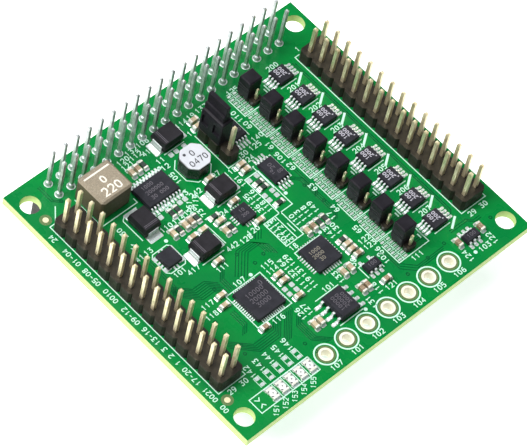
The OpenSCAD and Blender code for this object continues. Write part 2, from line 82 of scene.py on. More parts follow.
class Shader:
    """A material whose nodes are made one after another."""

    def __init__(self, name):
        self.material = bpy.data.materials.new(name)
        self.material.use_nodes = True
        self.tree = self.material.node_tree
        self.surface = self.tree.nodes["Principled BSDF"]
        self.place = self.node("ShaderNodeTexCoord").outputs["Object"]

    def node(self, kind, **values):
        made = self.tree.nodes.new(kind)
        for key, value in values.items():
            setattr(made, key, value)
        return made

    def feed(self, target, value):
        if isinstance(value, bpy.types.NodeSocket):
            self.tree.links.new(value, target)
        else:
            target.default_value = value

    def math(self, operation, a, b=0.0):
        made = self.node("ShaderNodeMath", operation=operation)
        self.feed(made.inputs[0], a)
        self.feed(made.inputs[1], b)
        return made.outputs[0]

    def noise(self, size, detail=3.0, stretch=(1, 1, 1)):
        """Noise whose features are about size millimetres across, from 0 to 1."""
        moved = self.node("ShaderNodeMapping")
        moved.inputs["Scale"].default_value = stretch
        self.feed(moved.inputs["Vector"], self.place)
        made = self.node("ShaderNodeTexNoise")
        made.inputs["Scale"].default_value = 1 / (size * MM)
        made.inputs["Detail"].default_value = detail
        self.feed(made.inputs["Vector"], moved.outputs[0])
        return made.outputs["Fac"]

    def cells(self, size):
        """Distance within cells about size millimetres across."""
        made = self.node("ShaderNodeTexVoronoi")
        made.inputs["Scale"].default_value = 1 / (size * MM)
        self.feed(made.inputs["Vector"], self.place)
        return made.outputs["Distance"]

    def span(self, value, low, high, start=0.0, end=1.0):
        """The value's range low to high, mapped to start to end and clamped."""
        made = self.node("ShaderNodeMapRange")
        for index, number in enumerate((value, low, high, start, end)):
            self.feed(made.inputs[index], number)
        return made.outputs[0]

    def mix(self, share, a, b):
        """Colour a, turning into colour b as the share goes from 0 to 1."""
        made = self.node("ShaderNodeMix", data_type="RGBA")
        self.feed(made.inputs[0], share)
        for socket, colour in zip(made.inputs[6:8], (a, b)):
            self.feed(socket, colour if isinstance(colour, bpy.types.NodeSocket) else (*colour, 1.0))
        return made.outputs[2]

    def axis(self, name):
        """One axis of the place, as a number."""
        made = self.node("ShaderNodeSeparateXYZ")
        self.feed(made.inputs[0], self.place)
        return made.outputs[name]

    def level(self):
        """1 on faces that look straight up or down, 0 on upright ones."""
        made = self.node("ShaderNodeSeparateXYZ")
        self.feed(made.inputs[0], self.node("ShaderNodeNewGeometry").outputs["Normal"])
        return self.math("ABSOLUTE", made.outputs["Z"])

    def bump(self, height, depth):
        """Relief of the given depth in millimetres."""
        made = self.node("ShaderNodeBump")
        made.inputs["Strength"].default_value = 1.0
        made.inputs["Distance"].default_value = depth * MM
        self.feed(made.inputs["Height"], height)
        self.feed(self.surface.inputs["Normal"], made.outputs[0])

    def finish(self, colour, roughness, **inputs):
        self.feed(self.surface.inputs["Base Color"], colour)
        self.feed(self.surface.inputs["Roughness"], roughness)
        for key, value in inputs.items():
            self.feed(self.surface.inputs[key.replace("_", " ")], value)
        return self.material


def darker(colour, share):
    return tuple(channel * share for channel in colour)


def moulded(name, colour, grain, depth, roughness=(0.35, 0.55), vary=0.6, shine=0.5):
    """Moulded plastic or compound: fine grain, cloudy colour and patchy gloss."""
    s = Shader(name)
    cloud = s.span(s.noise(1.6, 2), 0.35, 0.65)
    fine = s.noise(grain, 4)
    tint = s.mix(s.math("MULTIPLY", cloud, s.span(fine, 0.3, 0.7, 0.5, 1)), darker(colour, vary), colour)
    s.bump(fine, depth)
    gloss = s.span(s.noise(grain * 3, 2), 0.35, 0.65, *roughness)
    return s.finish(tint, gloss, Specular_IOR_Level=shine)


def plated(name, colour, stain, roughness=(0.18, 0.38), along=(1, 1, 0.12), metal=1.0):
    """Plated metal drawn along one axis, with faint staining."""
    s = Shader(name)
    streak = s.noise(0.12, 3, along)
    tint = s.mix(s.span(s.noise(1.1, 3), 0.4, 0.75), colour, stain)
    s.bump(streak, 0.006)
    return s.finish(tint, s.span(streak, 0.3, 0.7, *roughness), Metallic=metal)


def masked(name, colour, deep, sheen=(0.24, 0.36)):
    """Solder mask: glossy, slightly uneven, with the glass weave faintly showing through."""
    s = Shader(name)
    warp, weft = (s.math("SINE", s.math("MULTIPLY", s.axis(name), WEAVE_WAVES)) for name in "XY")
    weave = s.math("ADD", warp, weft)
    patches = s.span(s.noise(7, 3), 0.4, 0.62)
    tint = s.mix(s.math("MULTIPLY", patches, 0.55), colour, deep)
    tint = s.mix(s.span(weave, -2, 2, 0, 0.12), tint, deep)
    s.bump(s.math("ADD", s.noise(0.35, 3), s.math("MULTIPLY", weave, 0.08)), 0.012)
    return s, tint, s.span(s.noise(2.5, 2), 0.35, 0.65, *sheen)


def board_material():
    """Solder mask on the faces, and bare glass-epoxy layers on the edges and in the holes."""
    s, mask, gloss = masked("green_board", MASK, MASK_DEEP)
    layers = s.math("SINE", s.math("MULTIPLY", s.axis("Z"), LAYER_WAVES))
    fibres = s.noise(0.16, 4, (1, 1, 5))
    bare = s.mix(s.span(s.math("ADD", layers, fibres), -0.8, 1.6), (0.36, 0.53, 0.15), (0.65, 0.77, 0.36))
    face = s.span(s.level(), 0.45, 0.6)
    rough = s.math("ADD", s.math("MULTIPLY", face, gloss), s.span(face, 0, 1, 0.6, 0))
    return s.finish(s.mix(face, bare, mask), rough, Specular_IOR_Level=0.15)


def track_material():
    s, tint, gloss = masked("masked_copper", TRACK, darker(TRACK, 0.8), (0.2, 0.32))
    return s.finish(tint, gloss, Specular_IOR_Level=0.15)


def bare_material():
    """Bare laminate round test points and fiducials, where the mask is opened."""
    s = Shader("bare_laminate")
    tint = s.mix(s.span(s.noise(0.2, 4), 0.35, 0.65), (0.06, 0.13, 0.035), (0.13, 0.19, 0.06))
    s.bump(s.noise(0.15, 3), 0.01)
    return s.finish(tint, s.span(s.noise(0.5), 0.3, 0.7, 0.45, 0.65))


def ink_material(name, colour, worn):
    """Printed ink: slightly grainy, thinner in places."""
    s = Shader(name)
    grain = s.noise(0.09, 4)
    tint = s.mix(s.span(grain, 0.55, 0.8), colour, worn)
    s.bump(grain, 0.008)
    return s.finish(tint, s.span(grain, 0.3, 0.7, 0.45, 0.65))


def solder_material():
    s = Shader("solder")
    frost = s.noise(0.18, 4)
    tint = s.mix(s.span(frost, 0.4, 0.7), (0.69, 0.75, 0.74), (0.44, 0.53, 0.50))
    s.bump(frost, 0.02)
    return s.finish(tint, s.span(frost, 0.3, 0.7, 0.25, 0.45), Metallic=0.5)


def pressed_material():
    """Pressed iron powder: speckled grains under a thin lacquer, with the upright sides painted darker as
    painted shade.
    """
    s = Shader("pressed_core")
    speck = s.cells(0.16)
    grain = s.noise(0.28, 5)
    tint = s.mix(s.span(grain, 0.3, 0.7), (0.23, 0.19, 0.135), (0.32, 0.27, 0.195))
    tint = s.mix(s.span(speck, 0.6, 0.95), tint, (0.40, 0.35, 0.27))
    # Upright faces painted darker than the top: painted shade for sides turned away from the light above
    upright = s.span(s.level(), 0.75, 0.35)
    tint = s.mix(upright, tint, (0.105, 0.09, 0.052))
    s.bump(s.math("ADD", grain, speck), 0.01)
    return s.finish(tint, s.span(grain, 0.3, 0.7, 0.55, 0.8))


def ceramic_material():
    """Fired ceramic: a different tan on each chip."""
    s = Shader("capacitor_ceramic")
    each = s.noise(2.3, 0)
    tint = s.mix(s.span(each, 0.35, 0.65), (0.22, 0.145, 0.085), (0.55, 0.45, 0.30))
    tint = s.mix(s.span(s.noise(0.2, 4), 0.45, 0.8), tint, (0.6, 0.48, 0.33))
    s.bump(s.noise(0.08, 4), 0.008)
    return s.finish(tint, s.span(s.noise(0.3), 0.3, 0.7, 0.35, 0.55))


def wire_material():
    """Enamelled copper wire, wound in close turns, with painted shade in the grooves between the turns."""
    s = Shader("copper_wire")
    turns = s.math("ABSOLUTE", s.math("SINE", s.math("MULTIPLY", s.axis("Z"), WIRE_WAVES)))
    # Dark where the turns meet: painted shade in the grooves between the turns
    tint = s.mix(s.span(turns, 0.0, 0.6), (0.16, 0.05, 0.02), (0.62, 0.27, 0.11))
    s.bump(turns, 0.08)
    return s.finish(tint, s.span(s.noise(0.2), 0.3, 0.7, 0.2, 0.35), Metallic=0.7)


def floor_material():
    s = Shader("pale_floor")
    tint = s.mix(s.span(s.noise(60, 2), 0.3, 0.7), (0.90, 0.90, 0.90), (0.93, 0.93, 0.93))
    rough = s.span(s.noise(20), 0.3, 0.7, 0.75, 0.85)
    return s.finish(tint, rough, Emission_Color=tint, Emission_Strength=0.8)


MASK = (0.0, 0.212, 0.036)
MASK_DEEP = (0.0, 0.155, 0.036)
TRACK = (0.0, 0.095, 0.027)

LOOKS = {
    "green_board": board_material(),
    "black_housing": moulded("black_housing", (0.032, 0.027, 0.020), 0.12, 0.008, (0.3, 0.5), shine=0.2),
    "shunt_black": moulded("shunt_black", (0.020, 0.018, 0.024), 0.1, 0.01, (0.3, 0.48), shine=0.13),
    "gold_pin": plated("gold_pin", (0.96, 0.86, 0.58), (0.72, 0.61, 0.36), (0.26, 0.42), metal=0.76),
    "gold_plate": plated("gold_plate", (0.90, 0.87, 0.74), (0.82, 0.77, 0.60), (0.3, 0.45), (1, 1, 1), 0.15),
    "bare_gold": plated("bare_gold", (0.84, 0.74, 0.49), (0.70, 0.60, 0.37), (0.3, 0.45), (1, 1, 1), 0.15),
    "tin_pin": plated("tin_pin", (0.70, 0.74, 0.73), (0.41, 0.44, 0.45), (0.25, 0.45), metal=0.8),
    "tin_lead": plated("tin_lead", (0.81, 0.86, 0.86), (0.60, 0.64, 0.64), (0.3, 0.5), (1, 1, 1), 0.45),
    "tin_end": plated("tin_end", (0.86, 0.84, 0.77), (0.70, 0.66, 0.58), (0.35, 0.55), (1, 1, 1), 0.4),
    "solder": solder_material(),
    "package": moulded("package", (0.028, 0.028, 0.037), 0.07, 0.014, (0.42, 0.62), shine=0.2),
    "diode_black": moulded("diode_black", (0.022, 0.020, 0.025), 0.09, 0.014, (0.36, 0.55), shine=0.2),
    "pressed_core": pressed_material(),
    "ferrite": moulded("ferrite", (0.020, 0.021, 0.023), 0.14, 0.018, (0.22, 0.42)),
    "copper_wire": wire_material(),
    "white_cover": moulded("white_cover", (0.64, 0.66, 0.71), 0.15, 0.006, (0.35, 0.5), 0.88),
    "capacitor_ceramic": ceramic_material(),
    "resistor_black": moulded("resistor_black", (0.055, 0.078, 0.066), 0.1, 0.008, (0.2, 0.38), shine=0.3),
    "led_lens": moulded("led_lens", (0.82, 0.84, 0.80), 0.2, 0.008, (0.15, 0.3), 0.9),
    "legend": ink_material("legend", (0.56, 0.84, 0.70), (0.40, 0.68, 0.54)),
    "pale_print": ink_material("pale_print", (0.48, 0.47, 0.54), (0.28, 0.27, 0.32)),
    "tan_print": ink_material("tan_print", (0.24, 0.22, 0.17), (0.15, 0.13, 0.10)),
    "faint_print": ink_material("faint_print", (0.105, 0.095, 0.115), (0.06, 0.055, 0.07)),
    "dark_print": ink_material("dark_print", (0.035, 0.035, 0.045), (0.12, 0.12, 0.14)),
    "cream_print": ink_material("cream_print", (0.84, 0.80, 0.70), (0.62, 0.56, 0.46)),
    "masked_copper": track_material(),
    "bare_laminate": bare_material(),
}


# ---- Closed thin shapes ----


class Layer:
    """Closed shapes collected into one mesh."""

    def __init__(self, low, high):
        self.low, self.high = low, high
        self.points, self.faces = [], []

    def add(self, points, faces):
        first = len(self.points)
        self.points += points
        self.faces += [[first + i for i in face] for face in faces]

    def loops(self, rings, caps=True):
        """Rings of equal length joined in order; the first and last are closed by caps."""
        count = len(rings[0])
        last = (len(rings) - 1) * count
        faces = []
        for first in range(0, last, count):
            for i in range(count):
                beside = (i + 1) % count
                faces.append([first + i, first + beside, first + count + beside, first + count + i])
        if caps:
            faces += [list(range(count))[::-1], [last + i for i in range(count)]]
        self.add([p for ring in rings for p in ring], faces)

    def plate(self, outline):
        """Plate with a counter-clockwise convex outline and softened top edges."""
        cx = sum(p[0] for p in outline) / len(outline)
        cy = sum(p[1] for p in outline) / len(outline)
        reach = max(math.hypot(x - cx, y - cy) for x, y in outline)
        share = 1 - SOFT / reach
        top = [(cx + (x - cx) * share, cy + (y - cy) * share) for x, y in outline]
        edge = self.high - min(SOFT, (self.high - self.low) / 2)
        self.loops([
            [(x, y, self.low) for x, y in outline],
            [(x, y, edge) for x, y in outline],
            [(x, y, self.high) for x, y in top],
        ])

    def box(self, x, y, width, depth, corner):
        """Rectangle about (x, y) with its corners cut."""
        w, d, c = width / 2, depth / 2, min(corner, width / 3, depth / 3)
        outline = [(w - c, -d), (w, -d + c), (w, d - c), (w - c, d)]
        outline += [(-u, -v) for u, v in outline]
        self.plate([(x + u, y + v) for u, v in outline])

    def disc(self, x, y, radius, sides=20):
        self.plate([(x + radius * math.cos(a), y + radius * math.sin(a)) for a in turns(sides)])

    def ring(self, x, y, inner, outer, sides=40):
        edge, soft = self.high - SOFT / 2, 0.03
        section = [(inner, self.low), (outer, self.low), (outer, edge), (outer - soft, self.high),
                   (inner + soft, self.high), (inner, edge)]
        rings = [[(x + r * math.cos(a), y + r * math.sin(a), z) for r, z in section] for a in turns(sides)]
        self.loops(rings + rings[:1], caps=False)

    def stroke(self, path, width=0.17, closed=False):
        """Line of even width through the path's points, mitred at its corners."""
        count = len(path)
        left, right = [], []
        for i, point in enumerate(path):
            before = path[(i - 1) % count] if closed or i else None
            after = path[(i + 1) % count] if closed or i < count - 1 else None
            normal = mitre(before, point, after, width / 2)
            left.append((point[0] + normal[0], point[1] + normal[1]))
            right.append((point[0] - normal[0], point[1] - normal[1]))
        low, edge, high = self.low, self.high - SOFT / 2, self.high
        rings = [
            [(*r, low), (*r, edge), (*lean(r, l), high), (*lean(l, r), high), (*l, edge), (*l, low)]
            for l, r in zip(left, right)
        ]
        if closed:
            rings.append(rings[0])
        self.loops(rings[::-1], caps=not closed)

    def digits(self, text, x, y, height=0.84, turn=0.0, width=0.16, gap=0.36):
        """Number centred on (x, y), reading along +X before it is turned; gap is a share of the height."""
        glyph = height * 0.62
        step = glyph + height * gap
        start = -(len(text) * step - height * gap) / 2
        for i, sign in enumerate(text):
            for path in GLYPHS[sign]:
                moved = [(start + i * step + u * glyph, (v - 0.5) * height) for u, v in path]
                self.stroke([spun(p, (x, y), turn) for p in moved], width)

    def piece(self, name, look, body, slot):
        mesh = bpy.data.meshes.new(name)
        mesh.from_pydata([(x * MM, y * MM, z * MM) for x, y, z in self.points], [], self.faces)
        mesh.validate()
        mesh.materials.append(LOOKS[look])
        made = bpy.data.objects.new(name, mesh)
        bpy.context.scene.collection.objects.link(made)
        made.modifiers.new("weld", "WELD").merge_threshold = 1e-7
        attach(made, body)
        return made


def turns(sides):
    return [math.tau * i / sides for i in range(sides)]


def spun(point, centre, degrees):
    c, s = math.cos(math.radians(degrees)), math.sin(math.radians(degrees))
    return centre[0] + point[0] * c - point[1] * s, centre[1] + point[0] * s + point[1] * c


def lean(a, b):
    """Point a moved a little towards b."""
    share = SOFT / (math.dist(a, b) or 1)
    return a[0] + (b[0] - a[0]) * share, a[1] + (b[1] - a[1]) * share


def mitre(before, point, after, half):
    """Sideways step at a corner, so that both neighbouring lines keep their width."""
    ways = []
    for a, b in ((before, point), (point, after)):
        if a is not None and b is not None:
            length = math.dist(a, b) or 1
            ways.append(((a[1] - b[1]) / length, (b[0] - a[0]) / length))
    x, y = sum(w[0] for w in ways), sum(w[1] for w in ways)
    size = math.hypot(x, y) or 1
    x, y = x / size, y / size
    spread = max(0.5, x * ways[0][0] + y * ways[0][1])
    return x * half / spread, y * half / spread


# Strokes of each sign in a unit square
GLYPHS = {
    "0": [[(0.5, 0), (0.1, 0.15), (0, 0.5), (0.1, 0.85), (0.5, 1),
           (0.9, 0.85), (1, 0.5), (0.9, 0.15), (0.5, 0)]],
    "1": [[(0.15, 0.75), (0.5, 1), (0.5, 0)]],
    "2": [[(0, 0.8), (0.25, 1), (0.8, 1), (1, 0.75), (0.9, 0.5), (0, 0), (1, 0)]],
    "3": [[(0, 1), (1, 1), (0.45, 0.6), (0.85, 0.55), (1, 0.3), (0.8, 0), (0.2, 0), (0, 0.15)]],
    "4": [[(0.75, 0), (0.75, 1), (0, 0.3), (1, 0.3)]],
    "5": [[(1, 1), (0.05, 1), (0, 0.55), (0.8, 0.6), (1, 0.35), (0.8, 0), (0, 0)]],
    "6": [[(0.85, 1), (0.3, 0.9), (0, 0.5), (0.05, 0.15), (0.3, 0),
           (0.8, 0), (1, 0.3), (0.8, 0.55), (0.1, 0.5)]],
    "7": [[(0, 1), (1, 1), (0.35, 0)]],
    "8": [[(0.5, 0.55), (0.1, 0.7), (0.15, 0.95), (0.5, 1), (0.85, 0.95), (0.9, 0.7), (0.5, 0.55)],
          [(0.5, 0.55), (0.05, 0.35), (0.1, 0.05), (0.5, 0), (0.9, 0.05), (0.95, 0.35), (0.5, 0.55)]],
    "9": [[(0.9, 0.5), (0.2, 0.45), (0, 0.7), (0.2, 1), (0.7, 1),
           (0.95, 0.85), (1, 0.5), (0.7, 0.1), (0.15, 0)]],
    "-": [[(0.1, 0.5), (0.9, 0.5)]],
    " ": [],
}


# ---- Places read from the CAD nodes ----


def islands(node):
    """Boxes (low, high) in millimetres of a node's separate solids."""
    mesh = nodes[node].data
    group = {}

    def root(key):
        while group[key] != key:
            group[key] = group[group[key]]
            key = group[key]
        return key

    keys = [tuple(round(c * 1e6) for c in v.co) for v in mesh.vertices]
    for key in keys:
        group[key] = key
    for face in mesh.polygons:
        first = root(keys[face.vertices[0]])
        for index in face.vertices[1:]:
            group[root(keys[index])] = first
    members = {}
    for key in group:
        members.setdefault(root(key), []).append([c / 1000 for c in key])
    boxes = [(tuple(map(min, *m)), tuple(map(max, *m))) for m in members.values()]
    return sorted(boxes)


def middle(box):
    return (box[0][0] + box[1][0]) / 2, (box[0][1] + box[1][1]) / 2


def size(box):
    return box[1][0] - box[0][0], box[1][1] - box[0][1], box[1][2] - box[0][2]


def outward(box, bodies):
    """Unit step along X or Y, out of the nearest body through the side where the lead is."""
    x, y = middle(box)
    body = min(bodies, key=lambda b: math.dist(middle(b), (x, y)))
    (bx, by), (w, d, _) = middle(body), size(body)
    along_x = abs(x - bx) / w > abs(y - by) / d
    return (math.copysign(1, x - bx), 0.0) if along_x else (0.0, math.copysign(1, y - by))


# ---- Pads and solder ----

pads = Layer(*PAD)
fillets = Layer(*PAD)


def ramp(start, way, width, height, reach):
    """Concave ramp of solder from a metal end down to its pad."""
    across = (-way[1], way[0])
    section = [(-0.03, PAD[0]), (reach, PAD[0]), (reach, PAD[1]), (reach * 0.55, TOP + height * 0.22),
               (reach * 0.25, TOP + height * 0.5), (0.03, TOP + height), (-0.03, TOP + height)]
    sides = []
    for side, bulge in ((-1, 1.0), (-0.45, 1.12), (0.45, 1.12), (1, 1.0)):
        aside = width / 2 * side
        ring = []
        for out, z in section:
            out *= bulge if out > 0 else 1
            ring.append((start[0] + way[0] * out + across[0] * aside,
                         start[1] + way[1] * out + across[1] * aside, z))
        sides.append(ring)
    fillets.loops(sides)


def soldered(box, way, beyond, wide, height, under=0.0):
    """Pad that reaches beyond a lead or metal end and under it, with a solder ramp of the given height."""
    w, d, _ = size(box)
    length, width = (w, d) if way[0] else (d, w)
    toe = (middle(box)[0] + way[0] * length / 2, middle(box)[1] + way[1] * length / 2)
    deep = under or length
    pad = (deep + beyond, width + wide)
    x, y = toe[0] + way[0] * (beyond - deep) / 2, toe[1] + way[1] * (beyond - deep) / 2
    pads.box(x, y, *(pad if way[0] else pad[::-1]), corner=0.12)
    ramp(toe, way, width + wide * 0.5, height, beyond * 0.8)


CHIP_SOLDER_HEIGHT = {"capacitor_bodies": 0.5, "resistor_bodies": 0.3, "led_bodies": 0.4}
chips = [(box, height) for node, height in CHIP_SOLDER_HEIGHT.items() for box in islands(node)]
for end in islands("chip_end_caps"):
    body, height = min(chips, key=lambda chip: math.dist(middle(chip[0]), middle(end)))
    soldered(end, outward(end, [body]), 0.38, 0.14, height)

# Leads, their bodies, and the pads' reach beyond, extra width, solder height and reach under
LEAD_PADS = (
    ("driver_ic_leads", "driver_ic_bodies", 0.62, 0.19, 0.12, 0.7),
    ("regulator_ic_leads", "regulator_ic_body", 0.2, 0.14, 0.12, 0.7),
    ("amplifier_ic_leads", "amplifier_ic_bodies", 0.55, 0.1, 0.12, 0.7),
    ("memory_ic_leads", "memory_ic_body", 0.6, 0.22, 0.16, 0.8),
    ("small_outline_leads", "small_outline_bodies", 0.45, 0.2, 0.14, 0.6),
    ("diode_leads", "diode_bodies", 1.1, 0.6, 0.55, 1.2),
)
for leads, bodies, beyond, wide, height, under in LEAD_PADS:
    cores = islands(bodies)
    for lead in islands(leads):
        soldered(lead, outward(lead, cores), beyond, wide, height, under)

# Leadless packages: only the edge pads show, a little beyond the body
EDGE_PAD_LIMIT = 1.0
EDGE_PAD_REACH = 0.5
LEADLESS = ("controller_ic_body", "converter_ic_body", "monitor_ic_body", "switch_ic_body")
cores = [box for node in LEADLESS for box in islands(node)]
for pad in islands("leadless_ic_pads"):
    (x, y), (w, d, _) = middle(pad), size(pad)
    if max(w, d) < EDGE_PAD_LIMIT:
        dx, dy = (step * EDGE_PAD_REACH for step in outward(pad, cores))
        pads.box(x + dx / 2, y + dy / 2, w + abs(dx), d + abs(dy), 0.05)

for joint in islands("stack_solder_joints"):
    pads.ring(*middle(joint), 0.45, 0.74, 28)

# Pads without a part
BARE_PAD = 0.85
BARE_PADS = [
    (1.5, 6.5), (3.15, 6.5), (1.5, 2.9), (3.15, 2.9), (1.5, 1.85), (3.15, 1.85), (-8.2, -11.8),
    (-6.7, -11.8), (-8.2, -12.9), (-6.7, -12.9), (-5.0, 17.85), (-3.85, 17.85), (-2.15, 17.85),
    (-14.4, 10.1), (-10.1, 10.3), (-9.0, 10.3),
]
for x, y in BARE_PADS:
    pads.box(x, y, BARE_PAD, BARE_PAD, 0.12)


def strip_y(channel, row):
    """Place along Y of a row of pads in the strip beside a channel header."""
    return 20.4 - channel * CHANNEL_STEP - row * STRIP_STEP


for i in range(CHANNELS):
    for row in range(STRIP_ROWS):
        for x in (10.15, 11.4):
            pads.box(x, strip_y(i, row), 0.74, 0.36, 0.1)
for led in islands("led_bodies"):
    for y in (-20.85, -22.05):
        pads.box(middle(led)[0], y, 0.78, 0.6, 0.1)

pads.piece("solder_pads", "solder", "board", "solder")
fillets.piece("solder_fillets", "solder", "board", "solder")

# Underside pads, with a bigger hole in the pads that are wide
WIDE_PAD = 0.7
under_pads = Layer(*UNDER_PAD)
for joint in islands("header_solder_joints") + islands("stack_solder_joints"):
    radius = size(joint)[0] / 2 + 0.12
    under_pads.ring(*middle(joint), 0.56 if radius > WIDE_PAD else 0.36, radius, 24)
under_pads.piece("underside_pads", "solder", "board", "solder")


# ---- Test points and fiducials ----

test_points = islands("test_point_rings")
bare = Layer(*MASK_OPENING)
opened = Layer(*INK)
for box in test_points:
    bare.ring(*middle(box), 1.18, 1.58)
    opened.ring(*middle(box), 1.74, 2.0)
FIDUCIALS = [(-29, 20.9), (-29, -20.7)]
gold = Layer(TOP, INK[1])
for x, y in FIDUCIALS:
    bare.ring(x, y, 0.45, 1.0)
    gold.disc(x, y, 0.5)
bare.piece("mask_openings", "bare_laminate", "board", "green_board")
gold.piece("fiducials", "bare_gold", "board", "gold_plate")
opened.piece("test_point_circles", "legend", "board", "white_cover")


# ---- Copper tracks and vias under the mask ----

tracks = Layer(*TRACK_LAYER)


def bundle(path, count, step, width=0.15):
    """Parallel tracks: the path and its copies, each moved by step."""
    for i in range(count):
        tracks.stroke([(x + step[0] * i, y + step[1] * i) for x, y in path], width)


bundle([(-22.4, -14.2), (-19.0, -17.6), (-14.7, -17.6), (-11.5, -14.4)], 5, (0, 0.4))
bundle([(-15.2, -18.9), (-11.3, -15.0), (-11.3, -13.9)], 5, (0.4, 0))
bundle([(-17.2, -9.6), (-17.2, -12.6), (-18.4, -13.8)], 3, (-0.4, 0))
bundle([(-22.6, -2.2), (-19.6, -5.2), (-17.2, -5.2), (-15.6, -6.8)], 7, (0, 0.4))
bundle([(-11.4, -6.6), (-8.0, -3.2), (-5.2, -3.2), (-4.4, -4.0), (-4.4, -6.2)], 5, (-0.34, 0.34))
bundle([(-14.4, -6.6), (-14.4, -4.4), (-11.6, -1.6), (-11.6, -0.9)], 3, (-0.38, 0))
bundle([(-22.0, 7.6), (-21.3, 6.9), (-21.3, -0.8), (-22.4, -1.9)], 2, (-0.4, 0))
bundle([(-10.0, -16.4), (-11.4, -17.8), (-11.4, -21.0), (-9.4, -23.0)], 4, (0.36, 0))
bundle([(7.6, -7.4), (8.7, -6.3), (8.7, 1.6), (7.6, 2.7)], 3, (-0.36, 0))
bundle([(8.9, -16.8), (8.9, -20.4), (10.9, -22.4), (16.8, -22.4)], 3, (0.34, 0.34))
bundle([(23.4, 18.6), (23.4, -17.5), (22.2, -18.7), (18.6, -18.7)], 2, (-0.36, 0.36), 0.2)
bundle([(-24.6, 21.6), (-26.0, 23.0), (-26.0, 26.2)], 2, (0.4, 0))
bundle([(26.3, -21.6), (24.8, -21.6), (23.9, -20.7), (20.2, -20.7)], 2, (0, 0.4))
bundle([(-4.6, -2.6), (-3.4, -1.4), (-3.4, -0.6)], 3, (-0.42, 0.2))
bundle([(8.2, -2.2), (9.0, -1.4), (9.0, 5.4)], 2, (-0.4, 0))
for i in range(CHANNELS):
    down = i * CHANNEL_STEP
    bundle([(14.1, 17.5 - down), (15.5, 17.5 - down), (16.6, 16.6 - down)], 2, (0, -0.4))
tracks.piece("masked_tracks", "masked_copper", "board", "green_board")

vias = Layer(*VIA_LAYER)
VIAS = [
    (-20.6, -14.9), (-21.2, -16.4), (-16.9, -4.9), (-8.5, -5.3), (-6.3, -4.9), (-5.2, -1.5),
    (8.4, -3.6), (7.9, 0.4), (8.3, 8.6), (-22.2, -1.2), (-20.9, -9.4), (-9.7, -2.4), (-12.2, -23.0),
    (9.2, -21.9), (17.9, -21.4), (24.6, 18.6), (-7.3, 16.7), (-15.6, 10.6), (-9.5, 8.3), (4.2, -8.4),
    (-1.3, -17.6), (-24.7, 22.1), (13.9, -21.7), (27.4, -22.6), (-20.7, -19.4), (-12.6, -20.9),
]
for x, y in VIAS:
    vias.ring(x, y, 0.16, 0.34, 16)
vias.piece("tented_vias", "masked_copper", "board", "green_board")


# ---- Pale legend: outlines and plain numbers, and a painted reflection beside each channel ----

legend = Layer(*INK)

# Outlines round the parts: each is a path of points
OUTLINES = [
    # side headers
    [(-26.1, 21.9), (-28.2, 19.5), (-29.35, 19.5), (-29.35, -19.1), (-23.7, -19.1), (-23.7, -18.4)],
    [(25.2, 19.5), (24.2, 19.5), (24.2, -19.2), (29.7, -19.2), (29.7, -18.5)],
    # power inductor, its diode and the regulator
    [(-22.9, 20.9), (-22.9, 14.5), (-15.4, 14.5), (-15.4, 15.4)],
    [(-16.2, 13.9), (-18.8, 13.9), (-19.6, 13.2), (-19.6, 8.6)],
    [(-13.8, 17.1), (-8.1, 17.1)],
    [(-9.9, 11.4), (-8.1, 11.4)],
    # filter inductor and the diodes beside it
    [(-5.2, 16.7), (-6.45, 15.5), (-6.45, 12.7), (-5.1, 11.3), (-4.6, 11.3)],
    [(-2.9, 11.3), (-2.5, 11.3), (-1.15, 12.6), (-1.15, 15.4), (-2.4, 16.7)],
    [(-5.9, 18.5), (-1.6, 18.5)],
    [(-6, 5.95), (-1, 5.95)],
    [(-15.3, -0.55), (-10.7, -0.55)],
    [(-10.9, 4.8), (-9.7, 4.4), (-9.6, 0.2)],
    # converter and the box of settings beside it
    [(-2.3, -8.9), (-2.3, -7.9), (3.3, -7.9)],
    [(0.05, -6.15), (0.05, -0.95)],
    [(0.7, -3.1), (0.7, -5.0)],
    [(1.0, 0.05), (1.9, 0.05)],
    # selector header and amplifiers
    [(0.5, 18.2), (0.5, 10.3), (3.4, 10.3), (3.4, 10.9)],
    [(7.65, 17.2), (7.65, 13.0)],
    [(4.0, 8.1), (3.75, 8.1), (3.75, 3.1), (4.0, 3.1)],
    [(7.3, 8.1), (7.55, 8.1), (7.55, 3.1), (7.3, 3.1)],
    # memory and the small-outline part
    [(-6.0, -16.4), (-0.95, -16.4)],
    [(-6.0, -22.05), (-0.95, -22.05)],
    [(3.8, -18.6), (3.8, -16.15), (4.5, -16.15)],
    [(7.2, -18.6), (7.2, -16.15), (6.5, -16.15)],
    # lights: arrow heads that show their direction
    [(-25.9, -23.4), (-25.3, -23.9), (-24.9, -23.4)],
    [(-25.9, -25.1), (-25.3, -24.6), (-24.9, -25.1)],
    # channel headers
    [(13.1, -19.56), (16.3, -19.56), (16.3, -15.9)],
]
LOOPS = [
    [(-16.7, 5.2), (-17.2, 5.75), (-20.2, 5.75), (-20.75, 5.2), (-20.75, 1.95), (-20.2, 1.4), (-17.2, 1.4),
     (-16.7, 1.95)],
    [(-16.4, -14.3), (-9.1, -14.3), (-9.1, -7.05), (-16.4, -7.05)],
    [(-2.4, -6.15), (1.35, -6.15), (1.35, -0.95), (-2.4, -0.95)],
    [(1.0, -0.95), (3.9, -0.95), (3.9, 7.05), (1.0, 7.05)],
    [(-26.45, -25.75), (-14.0, -25.75), (-14.0, -22.85), (-26.45, -22.85)],
]
DOTS = [
    (-8.25, 17.15), (-16.75, 6.35), (-10.55, -6.5), (3.65, -7.55), (4.5, 1.2), (-0.7, -22.35),
    (20.75, -25.75),
]

